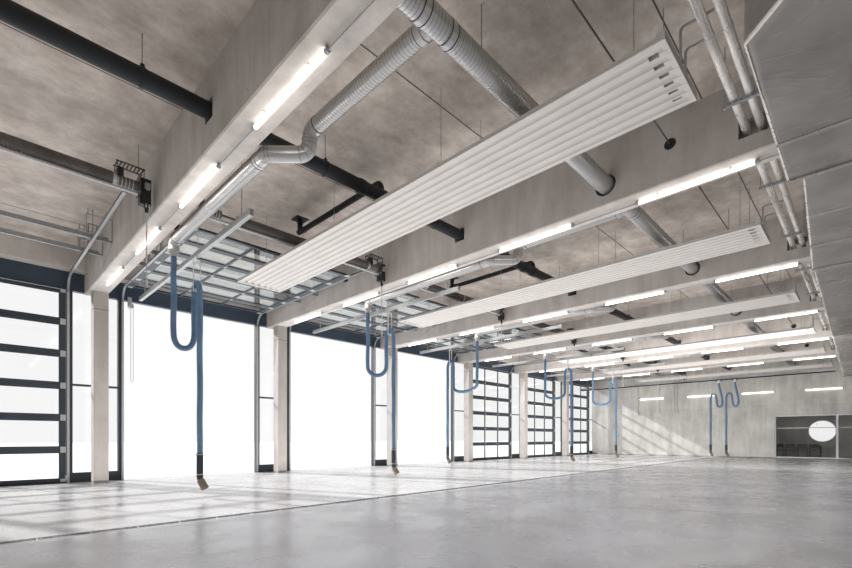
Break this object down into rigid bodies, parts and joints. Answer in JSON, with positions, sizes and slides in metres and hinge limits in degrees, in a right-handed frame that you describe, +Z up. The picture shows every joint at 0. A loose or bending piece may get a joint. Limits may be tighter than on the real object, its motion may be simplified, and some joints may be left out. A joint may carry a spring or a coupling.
{
  "type": "fire station vehicle hall",
  "caption": "Concrete vehicle hall of a fire station with sectional glass doors, ceiling heating panels, ducts and hanging exhaust hoses.",
  "frame": {"origin": "middle of the footprint on the ground", "axes": "+X along the hall towards its near end, +Z up, the doors face -Y"},
  "size_m": [38.85, 17.5, 6.607],
  "materials": {
    "floor_concrete": "polished",
    "wall_concrete": "matte",
    "beam_concrete": "matte",
    "plank_concrete": "matte",
    "column_concrete": "matte",
    "roof_gravel": "matte",
    "door_paint": "satin",
    "header_paint": "satin",
    "coping_metal": "satin",
    "track_zinc": "galvanised",
    "rail_aluminium": "anodised",
    "duct_zinc": "galvanised",
    "duct_foil": "crinkled foil",
    "spring_steel": "oiled",
    "operator_black": "satin",
    "pipe_black": "matte",
    "panel_white": "satin",
    "lamp_white": "emissive",
    "lamp_grey": "matte",
    "hose_blue": "matte",
    "nozzle_rubber": "matte",
    "door_glass": "clear",
    "frame_metal": "satin",
    "grate_steel": "galvanised",
    "furniture_dark": "satin"
  },
  "bodies": {
    "root": {"air_duct": "duct_foil", "ceiling_hangers": "track_zinc", "ceiling_tracks": "track_zinc", "door_1": "door_paint", "door_2": "door_paint", "door_3": "door_paint", "door_4": "door_paint", "door_5": "door_paint", "door_6": "door_paint", "door_7": "door_paint", "door_glass_open": "door_glass", "door_glass_shut": "door_glass", "door_guides": "track_zinc", "door_header": "header_paint", "door_operators": "operator_black", "door_springs": "spring_steel", "drain_channel": "grate_steel", "drain_pipes": "pipe_black", "end_room_front_wall": "wall_concrete", "exhaust_hose_1": "hose_blue", "exhaust_hose_2": "hose_blue", "exhaust_hose_3": "hose_blue", "exhaust_hose_4": "hose_blue", "exhaust_hose_5": "hose_blue", "exhaust_hose_6": "hose_blue", "exhaust_hose_7": "hose_blue", "extract_branches": "duct_zinc", "extract_duct": "duct_zinc", "facade_posts": "door_paint", "far_end_wall": "wall_concrete", "far_wall": "wall_concrete", "far_window_frame": "frame_metal", "far_window_glass": "door_glass", "floor_slab": "floor_concrete", "foil_pipes": "duct_foil", "front_columns": "column_concrete", "front_edge_beam": "beam_concrete", "front_fascia": "wall_concrete", "hose_nozzles": "nozzle_rubber", "hose_rails": "rail_aluminium", "hose_saddles": "track_zinc", "light_fittings": "lamp_grey", "light_tubes": "lamp_white", "near_end_wall": "wall_concrete", "panel_pipes": "track_zinc", "parapet_coping": "coping_metal", "radiant_panels": "panel_white", "rear_wall": "wall_concrete", "roof_beams": "beam_concrete", "roof_covering": "roof_gravel", "roof_planks": "plank_concrete", "room_furniture": "furniture_dark", "round_window_frame": "frame_metal", "round_window_glass": "door_glass", "strip_bars": "door_paint", "strip_glass": "door_glass"}
  },
  "joints": []
}
